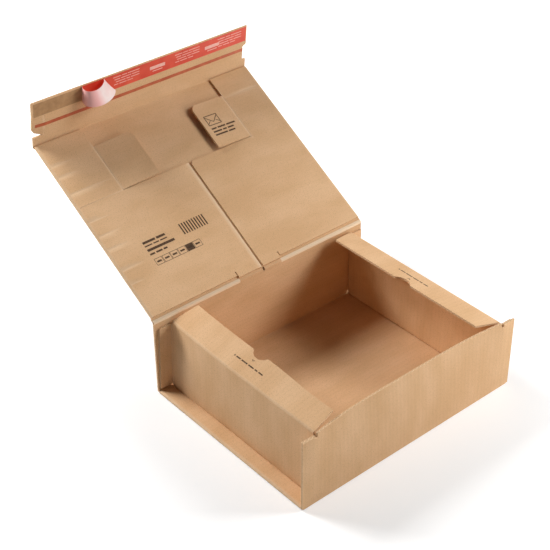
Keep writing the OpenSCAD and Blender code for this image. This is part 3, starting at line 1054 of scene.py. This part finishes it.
def fold_paper(strip, angle, about, length, way, rubbed_or_painted):
    """Folds a strip's picked edges round a crease, runs them on by a length and makes it paper."""
    fold(angle, about, ALONG_X, 8)
    run_on((0, length * way[0], length * way[1]))
    lay_out(strip, strip_blank, rubbed_or_painted)
    thicken(strip, (smooth_kraft, edge), PAPER)


hinge_inside = paper_strip("hinge_paper_inside", from_hinge, (-INSIDE_R, -2), (-INSIDE_R, 0), True)
score(ALONG_X, TONGUE_LEFT, TONGUE_LEFT - 0.4, TONGUE_RIGHT, TONGUE_RIGHT + 0.4, SEAM_LEFT, SEAM_RIGHT)
cut_away(lambda x, y, z: between(x, SEAM_LEFT, SEAM_RIGHT))
pick(lambda x, y, z: z > HINGE[2] - NEAR)
# Beside the tongue this paper is pale: partly worn, partly a painted highlight.
fold_paper(hinge_inside, -60, from_hinge(0, 0), 2.283, LID_WAY, beside_tongue)

hinge_outside = paper_strip("hinge_paper_outside", from_hinge, (0.65, -1), (0.65, -0.75), True)
pick(lambda x, y, z: z > HINGE[2] - 0.8)
# The outer paper is pale: partly worn by stretching, partly a painted highlight.
fold_paper(hinge_outside, -60, from_hinge(1.3, -0.75), 0.85, LID_WAY, stretched_and_highlit)

# %% Paper inside and outside the flap's crease
FLAP_WAY = (-math.sin(math.radians(24)), -math.cos(math.radians(24)))


def from_crease(y, z, x=0):
    """A place measured from the closing flap's crease on the closed lid."""
    return (x, CREASE[1] + y, CREASE[2] + z)


crease_inside = paper_strip("crease_paper_inside", from_crease, (1.753, -1.85), (2.0, -1.85))
pick(lambda x, y, z: y < CREASE[1] + 1.8)
fold_paper(crease_inside, 66, from_crease(1.753, -2.70), 0.53, FLAP_WAY, unrubbed)

crease_outside = paper_strip("crease_paper_outside", from_crease, (0, 0.65), (0.3, 0.65))
pick(lambda x, y, z: y < CREASE[1] + NEAR)
# The outer paper is pale: partly worn by stretching, partly a painted highlight.
fold_paper(crease_outside, 66, from_crease(0, 0), 1.6, FLAP_WAY, stretched_and_highlit)
for strip in (crease_inside, crease_outside):
    turn(strip, LID_OPEN, HINGE)

# %% [markdown]
# ## Release liner
# The liner covers the contact glue, and it is peeled at the left: it leaves the board at the peel line and
# curls back over itself to the right, wider at its lower edge than at the board's free edge, so the curl is
# half a cone. It could be simulated as cloth, but paper this stiff holds a plain curve, so the strip is laid
# flat past the peel line and its points are carried onto the cone.

# %% Curl the liner
LINER_Y, LINER_LOW, LINER_HIGH, LINER_T = -147.9, 48.7, 71.7, 0.2
PEEL_X, PEELED, LINER_END = -102.5, 62.0, 180.0
CURL_TOP, CURL_LOW, CURL_LEAN = (35.0, 18.0), (53.0, 23.0), 0.5

liner_low, liner_high = (PEEL_X, LINER_Y, LINER_LOW), (LINER_END, LINER_Y, LINER_HIGH)
liner = new_sheet("release_liner_strip", liner_low, liner_high, (30, 10), upright=True)
pick(lambda x, y, z: x < PEEL_X + NEAR)
run_on((-PEELED, 0, 0), 36)


def curl_size(z):
    """How far down the curl a point lies, and the cone's length and height there."""
    low = (z - LINER_LOW) / (LINER_HIGH - LINER_LOW)
    return (low, *[a + (b - a) * low for a, b in zip(CURL_TOP, CURL_LOW)])


def curl(x, y, z):
    """Carries the peeled length onto half a cone that stands off the flap."""
    if x > PEEL_X - 0.01:
        return (0.0, 0.0, 0.0)
    share = (PEEL_X - x) / PEELED
    low, length, height = curl_size(z)
    angle = math.pi * share * (0.985 - 0.03 * math.sin(math.pi * low))
    off = height * math.sin(angle) ** 0.95
    out = length / 2 * (1 - math.cos(angle)) - CURL_LEAN * off
    return (PEEL_X + out - x, off + 0.35 * min(1, 8 * share), 0.0)


def painted_red_light(x, y, z):
    """How much painted red light the curl gets, shining through from the red side and reflected from it: most
    where it turns, nothing towards its end.
    """
    return min(1.0, max(0.0, 2 - (x - PEEL_X) / (0.25 * curl_size(z)[1])))


shape(liner, curl)
# The curl gets painted red light where it turns.
lay_out(liner, lambda x, y, z: (x + y, z), painted_red_light)
thicken(liner, (liner_back, liner_front, liner_back), LINER_T, back=1)
stand_up(liner)

# %% [markdown]
# ## Print
# The board carries plain print: a row of boxes with one filled in, a field of even stripes, a mail sign and
# rows of bars. Each mark is a thin film of its own on the board, so that it stays sharp from close by. A
# drawing in the material would need a node for each edge of each mark.

# %% Print tools
FILM = 0.00004


def print_marks(name, marks, level, finish, upright=False):
    """A film of marks, each with its middle, width, height and turn, at a level above the board."""
    bpy.ops.object.select_all(action="DESELECT")
    tipped = (math.pi / 2 if upright else 0, 0, 0)
    for i, (x, y, width, height, angle) in enumerate(marks):
        place = mm(x, level, y) if upright else mm(x, y, level)
        bpy.ops.mesh.primitive_plane_add(size=1, location=place, rotation=tipped)
        if i == 0:
            film = bpy.context.object
            film.name = film.data.name = name
            bpy.ops.object.transform_apply()
            bpy.ops.object.mode_set(mode="EDIT")
            bpy.ops.mesh.select_all(action="SELECT")
        size = mm(width, 1000, height) if upright else mm(width, height, 1000)
        bpy.ops.transform.resize(value=size, center_override=place)
        if angle:
            bpy.ops.transform.rotate(value=-math.radians(angle), orient_axis="Z", center_override=place)
    leave()
    solid = film.modifiers.new("film", "SOLIDIFY")
    solid.thickness = FILM
    bpy.ops.object.modifier_apply(modifier=solid.name)
    film.data.materials.append(finish)
    print(film.name, len(marks), "marks")
    return film


def outline(x, y, width, height, line):
    """Four bars round a box."""
    across = [(x, y + s * (height - line) / 2, width, line, 0) for s in (-1, 1)]
    return across + [(x + s * (width - line) / 2, y, line, height, 0) for s in (-1, 1)]


def bars(x, y, lengths, height, gap=2.0):
    """A row of bars, from a starting place."""
    row = []
    for length in lengths:
        row.append((x + length / 2, y, length, height, 0))
        x += length + gap
    return row


print("films", FILM / MM, "mm thick")

# %% Print the lid
LID_FILM = 111.3 - 0.05
BOX_X, BOX_Y, BOX_PITCH, BOX_W, BOX_H, FILLED = -124.6, 73, 12.6, 12.0, 10.4, 4
boxes = []
for i in range(6):
    boxes += outline(BOX_X + BOX_PITCH * i, BOX_Y, BOX_W, BOX_H, 0.55)
    boxes += bars(BOX_X - 3.6 + BOX_PITCH * i, BOX_Y, (7.2,), 2.6)
boxes.append((BOX_X + BOX_PITCH * FILLED, BOX_Y, BOX_W, BOX_H, 0))
stripes = [(-69 + 4.2 * i, 45.5, 2.1, 17, 0) for i in range(10)]
lines = bars(-131, 41.5, (20, 14), 3.4) + bars(-131, 47.0, (12, 9, 11), 1.8)
lines += bars(-131, 53.6, (44,), 3.6) + bars(-131, 60.0, (8, 10, 6), 2.6)
lid_print = print_marks("lid_print", boxes + stripes + lines, LID_FILM, ink)
turn(lid_print, LID_OPEN, HINGE)

# %% [markdown]
# ## Print on the tab, the dust flaps and the liner
# The right tab carries a mail sign with bars below, and each dust flap one row of bars with a chevron. These
# films are laid level and then tipped to the slope of the panel that they lie on.

# %% Print the tab
SIGN_X, SIGN_LEFT = 73.5, 62
sign = outline(SIGN_X, -85, 23, 17, 1.1)
sign += [(SIGN_X + s * 5.4, -86.4, 14.5, 1.0, s * -42) for s in (-1, 1)]
sign += [(SIGN_X + s * 8.4, -81.2, 9, 0.9, s * 38) for s in (-1, 1)]
for y, lengths in ((-71, (9, 14, 16)), (-65.5, (15, 7, 11)), (-60, (22, 12))):
    sign += bars(SIGN_LEFT, y, lengths, 2.4)
tab_print = print_marks("tab_print", sign, LID_FILM, ink)
turn(tab_print, -TAB_LIFT, (POCKET_RIGHT, 0, INNER_Z), "Y")
turn(tab_print, LID_OPEN, HINGE)

# %% Print the dust flaps
FLAP_FILM = 109.6 + 1.45
FLAP_BARS = ((26, 2), (19, 8), (7.5, 11), (-5, 10), (-14.5, 5), (-23, 8))
flap_marks = [(142, y, 1.8, length, 0) for y, length in FLAP_BARS]
flap_marks += [(134, 0.9 * s, 0.9, 3.2, s * 40) for s in (-1, 1)]
for sheet, way in zip(flaps, (-1, 1)):
    marks = [(x * way, y, width, height, angle * way) for x, y, width, height, angle in flap_marks]
    film = print_marks(sheet.name + "_print", marks, FLAP_FILM, ink)
    turn(film, way * math.degrees(rise), (way * (WALL_X - FOLD_R), 0, WALL_TOP), "Y")
    shape(film, lambda x, y, z: (0.0, 0.0, flap_lift(x, y, z)))
    make_active(sheet)
    film.select_set(True)
    bpy.ops.object.join()

# %% Print the liner
LINER_FILM, LINER_LAST = -147.75, 176
LINER_ROWS = ((53.5, (13, 8, 19)), (57.3, (9, 17, 12)), (61.1, (16, 6, 14)), (64.9, (7, 12, 9)))
rows = []
for start in (-52, 52, 128):
    for i, (z, lengths) in enumerate(LINER_ROWS):
        rows += bars(start + (2 * i) % 5, z, lengths, 1.1, 1.6)
for start in (8, 104):
    rows += [(start + 14, 60.2, 26, 5.0, 0), (start + 14, 65.6, 17, 1.2, 0)]
rows = [mark for mark in rows if mark[0] + mark[2] / 2 < LINER_LAST]
liner_print = print_marks("liner_print", rows, LINER_FILM, liner_mark, upright=True)
stand_up(liner_print)

# %% [markdown]
# ## Riding on the bodies
# Each piece moves with the body that it belongs to, and stands for the plain solid that it replaces. The dust
# flaps and the liner get meshes of their own, and the crease papers have their place baked into their meshes.

# %% Tie the pieces to the bodies
for body, slot, riders in (
    ("tray", "kraft_board", (tray, *flaps)),
    ("lid", "kraft_board", (lid, lid_print, tab_print)),
    ("closing_flap", "kraft_board", (closing,)),
    ("closing_flap", "tear_tape", (tear,)),
    ("closing_flap", "liner_paper", (liner, liner_print)),
):
    for piece in riders:
        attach(piece, body)
stand_ins = {"tray": tray, "lid": lid, "closing_flap": closing, "tear_strip": tear, "release_liner": liner}
for node, piece in stand_ins.items():
    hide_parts(node)

# %% Give the dust flaps and the liner meshes of their own, and bake the crease papers' place
for sheet, kept in zip(flaps, (0.18, 0.3)):
    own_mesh(sheet)
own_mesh(liner)


def by_crease(y, z):
    """Where a place measured from the flap's crease stands on the open lid, in metres."""
    return opened(*from_crease(y, z)[1:])


for strip, first, second, start, end in (
    (hinge_inside, "tray", "lid", mm(*from_hinge(-2, 0)), mm(*from_hinge(-1, 1.732))),
    (hinge_outside, "tray", "lid", mm(*from_hinge(0.8, -0.75)), mm(*from_hinge(1.05, -0.317))),
    (crease_inside, "lid", "closing_flap", by_crease(1.753, -2.0), by_crease(1.115, -2.415)),
    (crease_outside, "lid", "closing_flap", by_crease(0, 0.8), by_crease(-0.731, 0.325)),
):
    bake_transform(strip)
